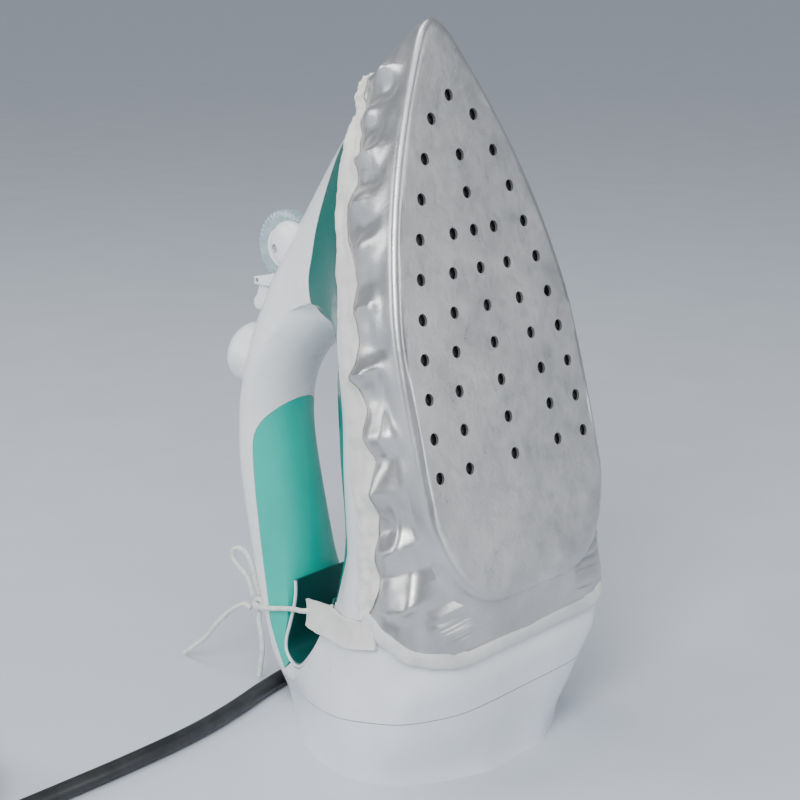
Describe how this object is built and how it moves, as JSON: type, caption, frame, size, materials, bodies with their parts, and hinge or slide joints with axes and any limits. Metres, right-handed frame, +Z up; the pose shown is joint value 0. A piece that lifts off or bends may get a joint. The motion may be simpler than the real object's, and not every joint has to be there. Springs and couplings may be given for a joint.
{
  "type": "steam iron",
  "caption": "Steam iron standing on its heel, sole dressed in an eyeletted silver fabric cover held by a drawstring tied round the handle, mains cord lying behind.",
  "frame": {"origin": "middle of the flat heel rest that the iron stands on, at floor level", "axes": "+Z up from the heel rest to the sole's tip, -Y the way the pressing face looks, X across the sole"},
  "size_m": [0.393, 0.2145, 0.2906],
  "materials": {
    "white_moulding": "satin moulded polypropylene",
    "white_lower_moulding": "satin moulded plastic",
    "white_cap_moulding": "satin moulded plastic",
    "teal_soft_grip": "soft-touch overmoulding",
    "teal_tank": "tinted glossy tank",
    "teal_liner": "fine textured",
    "silver_cover": "aluminised woven cloth with satin sheen",
    "cream_tape": "cotton tape and casing",
    "white_string": "twisted string",
    "cast_aluminium": "cast",
    "steel": "drawn",
    "brass": "bright",
    "clear_blue_grey": "translucent tinted moulding",
    "black_rubber": "moulded",
    "black_cord": "smooth sheath",
    "grey_moulding": "moulded"
  },
  "bodies": {
    "iron": {"base_cap": "white_cap_moulding", "lower_housing": "white_lower_moulding", "water_tank": "teal_tank", "handle_shell": "white_moulding", "grip_insert": "teal_soft_grip", "bowl_liner": "teal_liner", "soleplate": "cast_aluminium", "heating_element": "steel", "steam_chamber": "cast_aluminium", "chamber_gasket": "black_rubber", "chamber_lid": "steel", "heat_shield": "steel", "tank_floor": "teal_tank", "drip_valve_body": "grey_moulding", "drip_needle": "steel", "thermostat": "grey_moulding", "thermal_fuse": "steel", "dial_cheek_left": "white_moulding", "dial_cheek_right": "white_moulding", "regulator_switch": "grey_moulding", "flap_pin": "steel", "flap_lug_left": "white_moulding", "flap_lug_right": "white_moulding", "filler_neck": "grey_moulding", "pump_body": "grey_moulding", "pump_spring": "steel", "cover_shell": "silver_cover", "hem_casing": "cream_tape", "rear_binding": "cream_tape", "cover_strap_left": "cream_tape", "cover_strap_right": "cream_tape", "drawstring_left": "white_string", "drawstring_right": "white_string", "bow_knot": "white_string", "bow_loop": "white_string", "string_end_long": "white_string", "string_end_short": "white_string", "terminal_block": "white_lower_moulding", "cord_clamp": "grey_moulding", "cord_guard": "black_rubber", "power_cord": "black_cord", "cord_coil": "black_cord", "cord_tie": "cream_tape", "cord_plug": "black_rubber", "plug_pin_left": "brass", "plug_pin_right": "brass", "sole_screw_1": "steel", "sole_screw_2": "steel", "sole_screw_3": "steel"},
    "dial": {"temperature_dial": "clear_blue_grey", "dial_hub": "white_moulding", "dial_axle": "steel"},
    "flap": {"filler_flap": "white_moulding"},
    "button": {"steam_button": "white_moulding", "pump_plunger": "grey_moulding"}
  },
  "joints": [
    {"name": "dial_turn", "type": "hinge", "parent": "iron", "child": "dial", "pos_m": [0, 0.06872, 0.1948], "axis": [1, 0, 0], "range_deg": [0, 270]},
    {"name": "flap_open", "type": "hinge", "parent": "iron", "child": "flap", "pos_m": [0, 0.0783, 0.18059], "axis": [1, 0, 0], "range_deg": [0, 60]},
    {"name": "button_press", "type": "slide", "parent": "iron", "child": "button", "axis": [0, -0.9755, -0.22], "range_m": [0, 0.004], "stiffness_N_per_m": 700, "springref_m": -0.002, "deforming": ["pump_spring"]}
  ]
}
